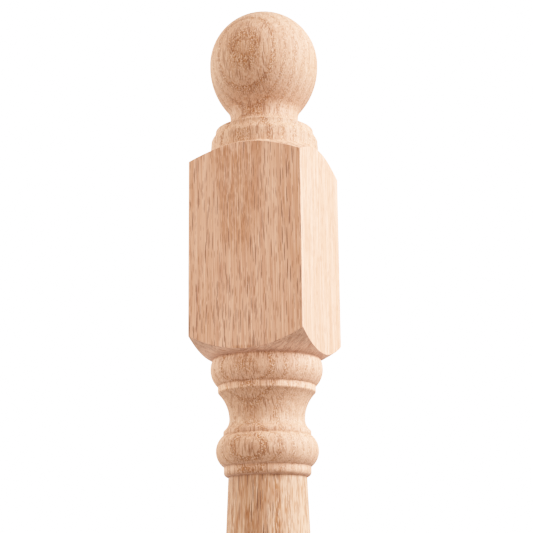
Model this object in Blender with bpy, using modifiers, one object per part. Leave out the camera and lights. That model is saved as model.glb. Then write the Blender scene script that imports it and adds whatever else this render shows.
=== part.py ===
# Ball-top newel post, turned between squares from one billet of red oak.
#
# One solid: a square blank whose two blocks stay square, and whose ball, collar,
# beads, cove and shaft are turned round the blank's own axis. The post stands on
# the sawn underside of its lower block. Units are metres and +Z runs up the post.
# The origin is the middle of the underside, and the blocks' faces look along X and Y.
# Radii are those of the turned forms, and rises and heights run along the post.

import math

import bpy

# Blank and lathe
BLOCK_SIDE = 0.0825
TURNED_STEPS = 48
CUT_MARGIN = 0.004

# Square blocks, each measured up the middle of a face
LOWER_BLOCK_HEIGHT = 0.280
UPPER_BLOCK_HEIGHT = 0.1446
SHOULDER_SLOPE = 30.0
UNDER_SHOULDER_SLOPE = 29.3
UNDER_SHOULDER_CURVE = 0.140

# Bead that meets a block, with the fillet on its far side
BLOCK_BEAD_JOIN_RADIUS = 0.0374
BLOCK_BEAD_JOIN_RISE = 0.0069
BLOCK_BEAD_RADIUS = 0.0388
BLOCK_BEAD_RISE = 0.0115
BLOCK_FILLET_RADIUS = 0.0338
BLOCK_FILLET_HEIGHT = 0.0043

# Shaft, a vase that swells low down and narrows slowly towards its head
SHAFT_LENGTH = 0.4402
SHAFT_FOOT_COVE = 0.0100
SHAFT_FOOT_RADIUS = 0.0258
SHAFT_FOOT_FLARE = 14.0
SHAFT_BELLY_RADIUS = 0.0366
SHAFT_BELLY_HEIGHT = 0.104
SHAFT_HEAD_RADIUS = 0.0268
SHAFT_HEAD_TAPER = 2.4

# Rim, rounded underneath, and low bead over the shaft
RIM_RADIUS = 0.0298
RIM_HEIGHT = 0.0038
LOW_BEAD_RADIUS = 0.0352
LOW_BEAD_RISE = 0.0107

# Cove between the low bead and the upper block's bead
COVE_FILLET_RADIUS = 0.0301
COVE_FILLET_HEIGHT = 0.0030
COVE_FOOT_RISE = 0.0079
COVE_WAIST_RADIUS = 0.0260
COVE_HEAD_RISE = 0.0185

# Collar on top of the upper block
COLLAR_FOOT_RADIUS = 0.0386
COLLAR_HEAD_RADIUS = 0.0381
COLLAR_HEIGHT = 0.0088
COLLAR_OGEE_HEIGHT = 0.0076
COLLAR_RIM_RADIUS = 0.0350
COLLAR_RIM_HEIGHT = 0.0016
COLLAR_SHELF = 0.0017

# Neck and ball, whose underside is drawn out towards the neck
NECK_FLARE_HEIGHT = 0.0090
NECK_RADIUS = 0.0243
NECK_HEIGHT = 0.0010
NECK_HEAD_CURVE = 0.0110
BALL_RADIUS = 0.0390
BALL_BAND = 0.0015
BALL_UNDER_CURVE = 0.0504

# Steps along each stretch of the profile
BALL_STEPS = 9
BALL_UNDER_STEPS = 6
NECK_STEPS = 4
OGEE_STEPS = 5
SHOULDER_STEPS = 4
BEAD_STEPS = 5
BEAD_JOIN_STEPS = 3
COVE_STEPS = 6
SMALL_CURVE_STEPS = 3
SHAFT_STEPS = 12
SHAFT_FOOT_STEPS = 6

OAK_COLOUR = (0.60, 0.40, 0.26, 1.0)
OAK_ROUGHNESS = 0.6
SHARP_ANGLE = 28.0


def clear_scene():
    for old_object in list(bpy.data.objects):
        bpy.data.objects.remove(old_object, do_unlink=True)


def new_collection(name):
    collection = bpy.data.collections.new(name)
    bpy.context.scene.collection.children.link(collection)
    return collection


def oak_material():
    material = bpy.data.materials.new("red_oak")
    material.use_nodes = True
    shader = material.node_tree.nodes["Principled BSDF"]
    shader.inputs["Base Color"].default_value = OAK_COLOUR
    shader.inputs["Roughness"].default_value = OAK_ROUGHNESS
    shader.inputs["Metallic"].default_value = 0.0
    return material


def shoulder_rise(radius):
    # How far the straight shoulder on top of a block stands over its faces, at a radius.
    return (BLOCK_SIDE / 2 - radius) * math.tan(math.radians(SHOULDER_SLOPE))


def under_shoulder_rise(radius):
    # How far the rounded shoulder under the upper block stands over the foot of its
    # faces, at a radius. It is less than zero inside the faces.
    face_angle = math.radians(UNDER_SHOULDER_SLOPE)
    sine = math.sin(face_angle) + (radius - BLOCK_SIDE / 2) / UNDER_SHOULDER_CURVE
    return UNDER_SHOULDER_CURVE * (math.cos(face_angle) - math.sqrt(1 - sine ** 2))


def ball_under_sweep():
    # Angle from the ball's widest ring down to where its underside meets the neck's arc.
    spread = NECK_RADIUS + NECK_HEAD_CURVE - (BALL_RADIUS - BALL_UNDER_CURVE)
    return math.acos(spread / (BALL_UNDER_CURVE + NECK_HEAD_CURVE))


def edge_heights():
    # Height over the floor of every edge, waist and widest ring, from the foot up.
    z = {"lower_block": LOWER_BLOCK_HEIGHT}
    z["base_join"] = z["lower_block"] + shoulder_rise(BLOCK_BEAD_JOIN_RADIUS)
    z["base_bead"] = z["base_join"] + BLOCK_BEAD_JOIN_RISE
    z["base_fillet"] = z["base_bead"] + BLOCK_BEAD_RISE
    z["base_cove"] = z["base_fillet"] + BLOCK_FILLET_HEIGHT
    z["shaft_foot"] = z["base_cove"] + SHAFT_FOOT_COVE
    z["shaft_belly"] = z["shaft_foot"] + SHAFT_BELLY_HEIGHT
    z["shaft_head"] = z["shaft_foot"] + SHAFT_LENGTH
    z["rim_foot"] = z["shaft_head"] + RIM_RADIUS - SHAFT_HEAD_RADIUS
    z["rim_head"] = z["rim_foot"] + RIM_HEIGHT
    z["low_bead"] = z["rim_head"] + LOW_BEAD_RISE
    z["low_bead_head"] = z["low_bead"] + LOW_BEAD_RISE
    z["cove_foot"] = z["low_bead_head"] + COVE_FILLET_HEIGHT
    z["cove_waist"] = z["cove_foot"] + COVE_FOOT_RISE
    z["cove_head"] = z["cove_waist"] + COVE_HEAD_RISE
    z["block_fillet"] = z["cove_head"] + BLOCK_FILLET_HEIGHT
    z["block_bead"] = z["block_fillet"] + BLOCK_BEAD_RISE
    z["block_join"] = z["block_bead"] + BLOCK_BEAD_JOIN_RISE
    z["upper_block"] = z["block_join"] - under_shoulder_rise(BLOCK_BEAD_JOIN_RADIUS)
    z["upper_block_head"] = z["upper_block"] + UPPER_BLOCK_HEIGHT
    z["collar_foot"] = z["upper_block_head"] + shoulder_rise(COLLAR_FOOT_RADIUS)
    z["collar_head"] = z["collar_foot"] + COLLAR_HEIGHT
    z["collar_rim"] = z["collar_head"] + COLLAR_OGEE_HEIGHT
    z["collar_shelf"] = z["collar_rim"] + COLLAR_RIM_HEIGHT
    z["neck_foot"] = z["collar_shelf"] + NECK_FLARE_HEIGHT
    z["neck_head"] = z["neck_foot"] + NECK_HEIGHT
    under_reach = (BALL_UNDER_CURVE + NECK_HEAD_CURVE) * math.sin(ball_under_sweep())
    z["ball_under"] = z["neck_head"] + under_reach
    z["ball_centre"] = z["ball_under"] + BALL_BAND
    z["top"] = z["ball_centre"] + BALL_RADIUS
    return z


def flank(waist_radius, waist_height, edge_radius, edge_height, steps):
    # Arc that leaves a cove's waist, a bead's widest ring or a rim's side straight up or
    # down, and ends on an edge. Its radius follows from how far the edge lies out and along.
    reach = edge_radius - waist_radius
    rise = edge_height - waist_height
    curve = (reach ** 2 + rise ** 2) / (2 * abs(reach))
    sweep = math.atan2(abs(rise), curve - abs(reach))
    points = []
    for step in range(steps + 1):
        angle = sweep * step / steps
        outward = math.copysign(curve * (1 - math.cos(angle)), reach)
        along = math.copysign(curve * math.sin(angle), rise)
        points.append((waist_radius + outward, waist_height + along))
    return points


def eased(head, foot, head_slope, foot_slope, steps):
    # Cubic run between two (radius, height) points, with the change of radius for each
    # metre of height given at both ends.
    span = foot[1] - head[1]
    points = []
    for step in range(steps + 1):
        t = step / steps
        radius = (2 * t ** 3 - 3 * t ** 2 + 1) * head[0] + (3 * t ** 2 - 2 * t ** 3) * foot[0]
        radius += (t ** 3 - 2 * t ** 2 + t) * span * head_slope
        radius += (t ** 3 - t ** 2) * span * foot_slope
        points.append((radius, head[1] + span * t))
    return points


def ball_points(z):
    points = [(0.0, z["top"])]
    for step in range(1, BALL_STEPS + 1):
        angle = math.pi / 2 * step / BALL_STEPS
        height = z["ball_centre"] + BALL_RADIUS * math.cos(angle)
        points.append((BALL_RADIUS * math.sin(angle), height))
    sweep = ball_under_sweep()
    for step in range(BALL_UNDER_STEPS + 1):
        angle = sweep * step / BALL_UNDER_STEPS
        radius = BALL_RADIUS - BALL_UNDER_CURVE * (1 - math.cos(angle))
        points.append((radius, z["ball_under"] - BALL_UNDER_CURVE * math.sin(angle)))
    for step in range(1, NECK_STEPS + 1):
        angle = sweep * (1 - step / NECK_STEPS)
        radius = NECK_RADIUS + NECK_HEAD_CURVE * (1 - math.cos(angle))
        points.append((radius, z["neck_head"] + NECK_HEAD_CURVE * math.sin(angle)))
    return points


def collar_points(z):
    shelf_radius = COLLAR_RIM_RADIUS - COLLAR_SHELF
    points = flank(NECK_RADIUS, z["neck_foot"], shelf_radius, z["collar_shelf"], NECK_STEPS)
    points.append((COLLAR_RIM_RADIUS, z["collar_shelf"]))
    for step in range(OGEE_STEPS + 1):
        t = step / OGEE_STEPS
        swing = (1 - math.cos(math.pi * t)) / 2
        radius = COLLAR_RIM_RADIUS + (COLLAR_HEAD_RADIUS - COLLAR_RIM_RADIUS) * swing
        points.append((radius, z["collar_rim"] - COLLAR_OGEE_HEIGHT * t))
    points.append((COLLAR_FOOT_RADIUS, z["collar_foot"]))
    return points


def upper_block_points(z):
    # The turned outline swings outside the blank here, so the blank's faces are left.
    reach = BLOCK_SIDE / math.sqrt(2) + CUT_MARGIN
    points = [(reach, z["upper_block_head"] + shoulder_rise(reach))]
    for step in range(SHOULDER_STEPS + 1):
        radius = reach + (BLOCK_BEAD_JOIN_RADIUS - reach) * step / SHOULDER_STEPS
        points.append((radius, z["upper_block"] + under_shoulder_rise(radius)))
    return points


def upper_turning_points(z):
    points = list(reversed(flank(
        BLOCK_BEAD_RADIUS, z["block_bead"], BLOCK_BEAD_JOIN_RADIUS, z["block_join"], BEAD_JOIN_STEPS)))
    points += flank(
        BLOCK_BEAD_RADIUS, z["block_bead"], BLOCK_FILLET_RADIUS, z["block_fillet"], BEAD_STEPS)
    points += reversed(flank(
        COVE_WAIST_RADIUS, z["cove_waist"], BLOCK_FILLET_RADIUS, z["cove_head"], COVE_STEPS))
    points += flank(
        COVE_WAIST_RADIUS, z["cove_waist"], COVE_FILLET_RADIUS, z["cove_foot"], BEAD_STEPS)
    points += reversed(flank(
        LOW_BEAD_RADIUS, z["low_bead"], COVE_FILLET_RADIUS, z["low_bead_head"], BEAD_STEPS))
    points += flank(LOW_BEAD_RADIUS, z["low_bead"], RIM_RADIUS, z["rim_head"], BEAD_STEPS)
    points += flank(
        RIM_RADIUS, z["rim_foot"], SHAFT_HEAD_RADIUS, z["shaft_head"], SMALL_CURVE_STEPS)
    return points


def shaft_points(z):
    head = (SHAFT_HEAD_RADIUS, z["shaft_head"])
    belly = (SHAFT_BELLY_RADIUS, z["shaft_belly"])
    foot = (SHAFT_FOOT_RADIUS, z["shaft_foot"])
    taper = -math.tan(math.radians(SHAFT_HEAD_TAPER))
    flare = math.tan(math.radians(SHAFT_FOOT_FLARE))
    points = eased(head, belly, taper, 0.0, SHAFT_STEPS)
    points += eased(belly, foot, 0.0, flare, SHAFT_FOOT_STEPS)
    return points


def base_points(z):
    points = flank(
        SHAFT_FOOT_RADIUS, z["shaft_foot"], BLOCK_FILLET_RADIUS, z["base_cove"], SMALL_CURVE_STEPS)
    points += reversed(flank(
        BLOCK_BEAD_RADIUS, z["base_bead"], BLOCK_FILLET_RADIUS, z["base_fillet"], BEAD_STEPS))
    points += flank(
        BLOCK_BEAD_RADIUS, z["base_bead"], BLOCK_BEAD_JOIN_RADIUS, z["base_join"], BEAD_JOIN_STEPS)
    reach = BLOCK_SIDE / math.sqrt(2) + CUT_MARGIN
    points.append((reach, z["lower_block"] + shoulder_rise(reach)))
    points.append((reach, -CUT_MARGIN))
    points.append((0.0, -CUT_MARGIN))
    return points


def without_repeats(points):
    kept = [points[0]]
    for point in points[1:]:
        if math.dist(point, kept[-1]) > 1e-6:
            kept.append(point)
    return kept


def turned_form(z, collection):
    # The outline of everything the lathe cuts, swept round the post's axis.
    points = ball_points(z) + collar_points(z) + upper_block_points(z)
    points += upper_turning_points(z) + shaft_points(z) + base_points(z)
    points = without_repeats(points)
    mesh = bpy.data.meshes.new("turned_outline")
    edges = [(index, index + 1) for index in range(len(points) - 1)]
    mesh.from_pydata([(radius, 0.0, height) for radius, height in points], edges, [])
    turned = bpy.data.objects.new("turned_outline", mesh)
    collection.objects.link(turned)
    screw = turned.modifiers.new("Turn", "SCREW")
    screw.axis = "Z"
    screw.angle = math.tau
    screw.steps = TURNED_STEPS
    screw.render_steps = TURNED_STEPS
    screw.use_merge_vertices = True
    screw.merge_threshold = 0.00001
    turned.hide_render = True
    turned.display_type = "WIRE"
    return turned


def square_blank(z, collection, material):
    height = z["top"] + CUT_MARGIN
    bpy.ops.mesh.primitive_cube_add(size=1.0, location=(0.0, 0.0, height / 2))
    blank = bpy.context.object
    blank.name = "newel_post"
    blank.data.name = "newel_post"
    blank.scale = (BLOCK_SIDE, BLOCK_SIDE, height)
    bpy.ops.object.transform_apply(location=True, rotation=False, scale=True)
    for old_collection in list(blank.users_collection):
        old_collection.objects.unlink(blank)
    collection.objects.link(blank)
    blank.data.materials.append(material)
    return blank


def turn_blank(blank, turned):
    # Keeps what the blank and the turned form share.
    cut = blank.modifiers.new("Turned between squares", "BOOLEAN")
    cut.operation = "INTERSECT"
    cut.solver = "EXACT"
    cut.object = turned
    depsgraph = bpy.context.evaluated_depsgraph_get()
    mesh = bpy.data.meshes.new_from_object(blank.evaluated_get(depsgraph))
    mesh.name = "newel_post"
    mesh.shade_smooth()
    mesh.set_sharp_from_angle(angle=math.radians(SHARP_ANGLE))
    blank.modifiers.clear()
    blank.data = mesh


def main():
    clear_scene()
    post_collection = new_collection("newel_post")
    cutters = new_collection("cutters")
    z = edge_heights()
    turned = turned_form(z, cutters)
    post = square_blank(z, post_collection, oak_material())
    turn_blank(post, turned)


main()
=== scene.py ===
import math

import bpy
from mathutils import Matrix, Vector


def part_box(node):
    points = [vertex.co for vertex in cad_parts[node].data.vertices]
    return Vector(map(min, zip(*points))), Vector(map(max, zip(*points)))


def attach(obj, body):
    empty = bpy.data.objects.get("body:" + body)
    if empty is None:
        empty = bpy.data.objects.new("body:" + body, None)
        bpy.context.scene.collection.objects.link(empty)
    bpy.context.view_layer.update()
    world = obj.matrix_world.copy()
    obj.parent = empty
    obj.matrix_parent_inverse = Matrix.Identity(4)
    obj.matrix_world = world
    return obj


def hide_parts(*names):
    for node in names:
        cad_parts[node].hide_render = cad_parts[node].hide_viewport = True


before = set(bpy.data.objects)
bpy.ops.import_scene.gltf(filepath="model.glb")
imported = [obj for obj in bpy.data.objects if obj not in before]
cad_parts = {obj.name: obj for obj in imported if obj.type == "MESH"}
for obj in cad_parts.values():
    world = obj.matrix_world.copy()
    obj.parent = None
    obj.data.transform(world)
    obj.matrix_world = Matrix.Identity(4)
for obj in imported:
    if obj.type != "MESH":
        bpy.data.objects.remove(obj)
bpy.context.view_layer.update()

# Ball-top newel post, one billet of bare red oak turned between squares.
# Metres, +Z up the post, front face towards -Y. Only the wood's pattern is in millimetres.

print("frame loaded")


# What the node trees are built with

def addNode(tree, kind, links=None, **settings):
    node = tree.nodes.new(kind)
    for name, value in settings.items():
        setattr(node, name, value)
    for name, value in (links or {}).items():
        socket = node.inputs[name]
        if isinstance(value, bpy.types.NodeSocket):
            tree.links.new(value, socket)
        else:
            socket.default_value = value
    return node


def doMath(tree, operation, first, second=0.0, third=0.0):
    node = addNode(tree, "ShaderNodeMath", {0: first, 1: second, 2: third}, operation=operation)
    return node.outputs[0]


def doVectorMath(tree, operation, first, second=(0.0, 0.0, 0.0)):
    node = addNode(tree, "ShaderNodeVectorMath", {0: first}, operation=operation)
    if operation == "SCALE":
        node.inputs["Scale"].default_value = second
    elif isinstance(second, bpy.types.NodeSocket):
        tree.links.new(second, node.inputs[1])
    else:
        node.inputs[1].default_value = second
    return node.outputs["Value" if operation in ("LENGTH", "DOT_PRODUCT") else "Vector"]


def addSockets(tree, inputs, outputs):
    for name, kind, value in inputs:
        socket = tree.interface.new_socket(name=name, in_out="INPUT", socket_type="NodeSocket" + kind)
        if value is not None:
            socket.default_value = value
    for name, kind in outputs:
        tree.interface.new_socket(name=name, in_out="OUTPUT", socket_type="NodeSocket" + kind)


def useGroup(tree, group, values):
    return addNode(tree, "ShaderNodeGroup", values, node_tree=group).outputs


def times(tree, first, *others):
    for value in others:
        first = doMath(tree, "MULTIPLY", first, value)
    return first


def inverse(tree, value):
    return doMath(tree, "SUBTRACT", 1.0, value)


def vector(tree, x=0.0, y=0.0, z=0.0):
    return addNode(tree, "ShaderNodeCombineXYZ", {"X": x, "Y": y, "Z": z}).outputs[0]


def coordinates(tree, point):
    return addNode(tree, "ShaderNodeSeparateXYZ", {0: point}).outputs


def offAxis(tree, apart, pick):
    # the larger or the smaller of the distances from the axis along X and along Y
    alongX, alongY = [doMath(tree, "ABSOLUTE", apart[axis]) for axis in "XY"]
    return doMath(tree, pick, alongX, alongY)


def ramp(tree, value, low, high, toLow=0.0, toHigh=1.0, smooth=False):
    return addNode(tree, "ShaderNodeMapRange", {
        "Value": value, "From Min": low, "From Max": high, "To Min": toLow, "To Max": toHigh},
        interpolation_type="SMOOTHSTEP" if smooth else "LINEAR").outputs[0]


def between(tree, share, none, full):
    # none where share is 0, full where it is 1
    return ramp(tree, share, 0.0, 1.0, none, full)


def noise(tree, point, stretch, detail=2.0, roughness=0.5):
    # stretch is the pattern's size along X, Y and Z in millimetres
    scaled = doVectorMath(tree, "DIVIDE", point, stretch)
    return addNode(tree, "ShaderNodeTexNoise", {
        "Vector": scaled, "Scale": 1.0, "Detail": detail, "Roughness": roughness}).outputs[0]


def shifted(tree, found, reach, start=0.0):
    # moves start both ways by a noise, which lies round a half
    return doMath(tree, "MULTIPLY_ADD", doMath(tree, "SUBTRACT", found, 0.5), reach, start)


def stretched(tree, point, along, across=1.0):
    # over 1 packs a pattern closer, along the grain or across it
    return doVectorMath(tree, "MULTIPLY", point, vector(tree, across, across, along))


def mixColour(tree, share, first, second, blend="MIX"):
    node = addNode(tree, "ShaderNodeMix", data_type="RGBA", blend_type=blend)
    for name, value in (("Factor_Float", share), ("A_Color", first), ("B_Color", second)):
        socket = [one for one in node.inputs if one.identifier == name][0]
        if isinstance(value, bpy.types.NodeSocket):
            tree.links.new(value, socket)
        else:
            socket.default_value = value
    return [one for one in node.outputs if one.identifier == "Result_Color"][0]


def toned(tree, share, colour, tone):
    return mixColour(tree, share, colour, mixColour(tree, 1.0, colour, tone, "MULTIPLY"))


def addObject(name, data):
    item = bpy.data.objects.new(name, data)
    bpy.context.scene.collection.objects.link(item)
    return item


# The post's form. The visible part was measured in the photo, the rest is a stock pattern.
postForm = {
    "lowerBlockHeight": 0.280,
    "upperBlockHeight": 0.1446,
    "shoulderSlope": 30.0,  # degrees
    "underShoulderSlope": 29.3,  # degrees
    "underShoulderCurve": 0.140,
    "blockBeadJoinRadius": 0.0374,
    "blockBeadJoinRise": 0.0069,
    "blockBeadRadius": 0.0388,
    "blockBeadRise": 0.0115,
    "blockFilletRadius": 0.0338,
    "blockFilletHeight": 0.0043,
    "shaftLength": 0.4402,
    "shaftFootCove": 0.0100,
    "shaftFootRadius": 0.0258,
    "shaftFootFlare": 14.0,  # degrees
    "shaftBellyRadius": 0.0366,
    "shaftBellyHeight": 0.104,
    "shaftHeadRadius": 0.0268,
    "shaftHeadTaper": 2.4,  # degrees
    "rimRadius": 0.0298,
    "rimHeight": 0.0038,
    "lowBeadRadius": 0.0352,
    "lowBeadRise": 0.0107,
    "coveFilletRadius": 0.0301,
    "coveFilletHeight": 0.0030,
    "coveFootRise": 0.0079,
    "coveWaistRadius": 0.0260,
    "coveHeadRise": 0.0185,
    "collarFootRadius": 0.0386,
    "collarHeadRadius": 0.0381,
    "collarHeight": 0.0088,
    "collarOgeeHeight": 0.0076,
    "collarRimRadius": 0.0350,
    "collarRimHeight": 0.0016,
    "collarShelf": 0.0017,
    "neckFlareHeight": 0.0090,
    "neckRadius": 0.0243,
    "neckHeight": 0.0010,
    "neckHeadCurve": 0.0110,
    "ballRadius": 0.0390,
    "ballBand": 0.0015,
    "ballUnderCurve": 0.0504,
    "sandedReach": 0.0009,  # how far the sanding rounds a crisp turned edge
    "turnedSteps": 180,
    "sandedSteps": 4,
    "ballSteps": 40,
    "ballUnderSteps": 24,
    "neckSteps": 12,
    "ogeeSteps": 18,
    "shoulderSteps": 14,
    "joinSteps": 8,
    "beadSteps": 16,
    "coveHeadSteps": 18,
    "coveFootSteps": 10,
    "lowBeadSteps": 14,
    "rimSteps": 8,
    "bellySteps": 40,
    "shaftFootSteps": 20,
    "arrisRadius": 0.00035,
    "arrisSteps": 3,
    "cutMargin": 0.004,
    "weldReach": 0.000005,
    "seamReach": 0.000001,
    "flatReach": 0.00001,  # how near to a planed or sawn plane a face lies in it
    "sharpAngle": 24.0,  # degrees
}

blankLow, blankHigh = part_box("newel_post")
blockSide = blankHigh.x - blankLow.x
postHeight = blankHigh.z


def shoulderRise(radius):
    return (blockSide / 2 - radius) * math.tan(math.radians(postForm["shoulderSlope"]))


def underShoulderRise(radius):
    # the shoulder under the upper block is slightly rounded
    curve = postForm["underShoulderCurve"]
    slope = math.radians(postForm["underShoulderSlope"])
    sine = math.sin(slope) + (radius - blockSide / 2) / curve
    return curve * (math.cos(slope) - math.sqrt(1 - sine ** 2))


def ballUnderSweep():
    f = postForm
    spread = f["neckRadius"] + f["neckHeadCurve"] - (f["ballRadius"] - f["ballUnderCurve"])
    return math.acos(spread / (f["ballUnderCurve"] + f["neckHeadCurve"]))


def edgeHeights():
    # height over the floor of every edge, waist and widest ring, from the foot up
    f = postForm
    z = {"lowerBlock": f["lowerBlockHeight"]}
    z["baseJoin"] = z["lowerBlock"] + shoulderRise(f["blockBeadJoinRadius"])
    z["baseBead"] = z["baseJoin"] + f["blockBeadJoinRise"]
    z["baseFillet"] = z["baseBead"] + f["blockBeadRise"]
    z["baseCove"] = z["baseFillet"] + f["blockFilletHeight"]
    z["shaftFoot"] = z["baseCove"] + f["shaftFootCove"]
    z["shaftBelly"] = z["shaftFoot"] + f["shaftBellyHeight"]
    z["shaftHead"] = z["shaftFoot"] + f["shaftLength"]
    z["rimFoot"] = z["shaftHead"] + f["rimRadius"] - f["shaftHeadRadius"]
    z["rimHead"] = z["rimFoot"] + f["rimHeight"]
    z["lowBead"] = z["rimHead"] + f["lowBeadRise"]
    z["lowBeadHead"] = z["lowBead"] + f["lowBeadRise"]
    z["coveFoot"] = z["lowBeadHead"] + f["coveFilletHeight"]
    z["coveWaist"] = z["coveFoot"] + f["coveFootRise"]
    z["coveHead"] = z["coveWaist"] + f["coveHeadRise"]
    z["blockFillet"] = z["coveHead"] + f["blockFilletHeight"]
    z["blockBead"] = z["blockFillet"] + f["blockBeadRise"]
    z["blockJoin"] = z["blockBead"] + f["blockBeadJoinRise"]
    z["upperBlock"] = z["blockJoin"] - underShoulderRise(f["blockBeadJoinRadius"])
    z["upperBlockHead"] = z["upperBlock"] + f["upperBlockHeight"]
    z["collarFoot"] = z["upperBlockHead"] + shoulderRise(f["collarFootRadius"])
    z["collarHead"] = z["collarFoot"] + f["collarHeight"]
    z["collarRim"] = z["collarHead"] + f["collarOgeeHeight"]
    z["collarShelf"] = z["collarRim"] + f["collarRimHeight"]
    z["neckFoot"] = z["collarShelf"] + f["neckFlareHeight"]
    z["neckHead"] = z["neckFoot"] + f["neckHeight"]
    underReach = (f["ballUnderCurve"] + f["neckHeadCurve"]) * math.sin(ballUnderSweep())
    z["ballUnder"] = z["neckHead"] + underReach
    z["ballCentre"] = z["ballUnder"] + f["ballBand"]
    z["top"] = z["ballCentre"] + f["ballRadius"]
    return z


def flank(waistRadius, waistHeight, edgeRadius, edgeHeight, steps):
    # arc that leaves a waist, a widest ring or a rim's side straight up or down and ends on an edge
    reach = edgeRadius - waistRadius
    rise = edgeHeight - waistHeight
    curve = (reach ** 2 + rise ** 2) / (2 * abs(reach))
    sweep = math.atan2(abs(rise), curve - abs(reach))
    points = []
    for step in range(steps + 1):
        angle = sweep * step / steps
        outward = math.copysign(curve * (1 - math.cos(angle)), reach)
        along = math.copysign(curve * math.sin(angle), rise)
        points.append((waistRadius + outward, waistHeight + along))
    return points


def eased(head, foot, headSlope, footSlope, steps):
    # cubic run between two points, with its slopes at both ends
    span = foot[1] - head[1]
    points = []
    for step in range(steps + 1):
        t = step / steps
        radius = (2 * t ** 3 - 3 * t ** 2 + 1) * head[0] + (3 * t ** 2 - 2 * t ** 3) * foot[0]
        radius += (t ** 3 - 2 * t ** 2 + t) * span * headSlope
        radius += (t ** 3 - t ** 2) * span * footSlope
        points.append((radius, head[1] + span * t))
    return points


def ballPoints(z):
    f = postForm
    points = [(0.0, z["top"])]
    for step in range(1, f["ballSteps"] + 1):
        angle = math.pi / 2 * step / f["ballSteps"]
        height = z["ballCentre"] + f["ballRadius"] * math.cos(angle)
        points.append((f["ballRadius"] * math.sin(angle), height))
    sweep = ballUnderSweep()
    for step in range(f["ballUnderSteps"] + 1):
        angle = sweep * step / f["ballUnderSteps"]
        radius = f["ballRadius"] - f["ballUnderCurve"] * (1 - math.cos(angle))
        points.append((radius, z["ballUnder"] - f["ballUnderCurve"] * math.sin(angle)))
    for step in range(1, f["neckSteps"] + 1):
        angle = sweep * (1 - step / f["neckSteps"])
        radius = f["neckRadius"] + f["neckHeadCurve"] * (1 - math.cos(angle))
        points.append((radius, z["neckHead"] + f["neckHeadCurve"] * math.sin(angle)))
    return points


def collarPoints(z):
    f = postForm
    shelfRadius = f["collarRimRadius"] - f["collarShelf"]
    points = flank(f["neckRadius"], z["neckFoot"], shelfRadius, z["collarShelf"], f["neckSteps"])
    points.append((f["collarRimRadius"], z["collarShelf"]))
    for step in range(f["ogeeSteps"] + 1):
        t = step / f["ogeeSteps"]
        swing = (1 - math.cos(math.pi * t)) / 2
        radius = f["collarRimRadius"] + (f["collarHeadRadius"] - f["collarRimRadius"]) * swing
        points.append((radius, z["collarRim"] - f["collarOgeeHeight"] * t))
    points.append((f["collarFootRadius"], z["collarFoot"]))
    return points


def upperBlockPoints(z):
    # the outline swings outside the blank here, so the blank's faces are left
    f = postForm
    reach = blockSide / math.sqrt(2) + f["cutMargin"]
    points = [(reach, z["upperBlockHead"] + shoulderRise(reach))]
    for step in range(f["shoulderSteps"] + 1):
        radius = reach + (f["blockBeadJoinRadius"] - reach) * step / f["shoulderSteps"]
        points.append((radius, z["upperBlock"] + underShoulderRise(radius)))
    return points


def upperTurningPoints(z):
    f = postForm
    bead, fillet, waist = f["blockBeadRadius"], f["blockFilletRadius"], f["coveWaistRadius"]
    points = flank(bead, z["blockBead"], f["blockBeadJoinRadius"], z["blockJoin"], f["joinSteps"])[::-1]
    points += flank(bead, z["blockBead"], fillet, z["blockFillet"], f["beadSteps"])
    points += flank(waist, z["coveWaist"], fillet, z["coveHead"], f["coveHeadSteps"])[::-1]
    points += flank(waist, z["coveWaist"], f["coveFilletRadius"], z["coveFoot"], f["coveFootSteps"])
    lowBead = f["lowBeadRadius"]
    points += flank(lowBead, z["lowBead"], f["coveFilletRadius"], z["lowBeadHead"], f["lowBeadSteps"])[::-1]
    points += flank(lowBead, z["lowBead"], f["rimRadius"], z["rimHead"], f["lowBeadSteps"])
    points += flank(f["rimRadius"], z["rimFoot"], f["shaftHeadRadius"], z["shaftHead"], f["rimSteps"])
    return points


def shaftPoints(z):
    f = postForm
    head = (f["shaftHeadRadius"], z["shaftHead"])
    belly = (f["shaftBellyRadius"], z["shaftBelly"])
    foot = (f["shaftFootRadius"], z["shaftFoot"])
    taper = -math.tan(math.radians(f["shaftHeadTaper"]))
    flare = math.tan(math.radians(f["shaftFootFlare"]))
    points = eased(head, belly, taper, 0.0, f["bellySteps"])
    return points + eased(belly, foot, 0.0, flare, f["shaftFootSteps"])


def basePoints(z):
    f = postForm
    bead, fillet = f["blockBeadRadius"], f["blockFilletRadius"]
    points = flank(f["shaftFootRadius"], z["shaftFoot"], fillet, z["baseCove"], f["coveFootSteps"])
    points += flank(bead, z["baseBead"], fillet, z["baseFillet"], f["beadSteps"])[::-1]
    points += flank(bead, z["baseBead"], f["blockBeadJoinRadius"], z["baseJoin"], f["joinSteps"])
    reach = blockSide / math.sqrt(2) + f["cutMargin"]
    points.append((reach, z["lowerBlock"] + shoulderRise(reach)))
    points.append((reach, -f["cutMargin"]))
    points.append((0.0, -f["cutMargin"]))
    return points


def pointTowards(start, end, distance):
    share = distance / math.dist(start, end)
    return tuple(a + (b - a) * share for a, b in zip(start, end))


def sanded(points, corner):
    # swaps the outline near a crisp edge for a short curve
    reach, steps = postForm["sandedReach"], postForm["sandedSteps"]
    place = min(range(len(points)), key=lambda index: math.dist(points[index], corner))
    ends = []
    for way in (-1, 1):
        index = place
        while math.dist(points[index + way], points[place]) < reach:
            index += way
        # the last stretch is shortened so that every curve has the same reach
        left = reach - math.dist(points[index], points[place])
        ends.append((index, pointTowards(points[index], points[index + way], left)))
    (low, start), (high, end) = ends
    curve = []
    for step in range(steps + 1):
        t = step / steps
        curve.append(tuple((1 - t) ** 2 * a + 2 * t * (1 - t) * b + t ** 2 * c
                           for a, b, c in zip(start, points[place], end)))
    return points[:low] + curve + points[high + 1:]


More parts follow.
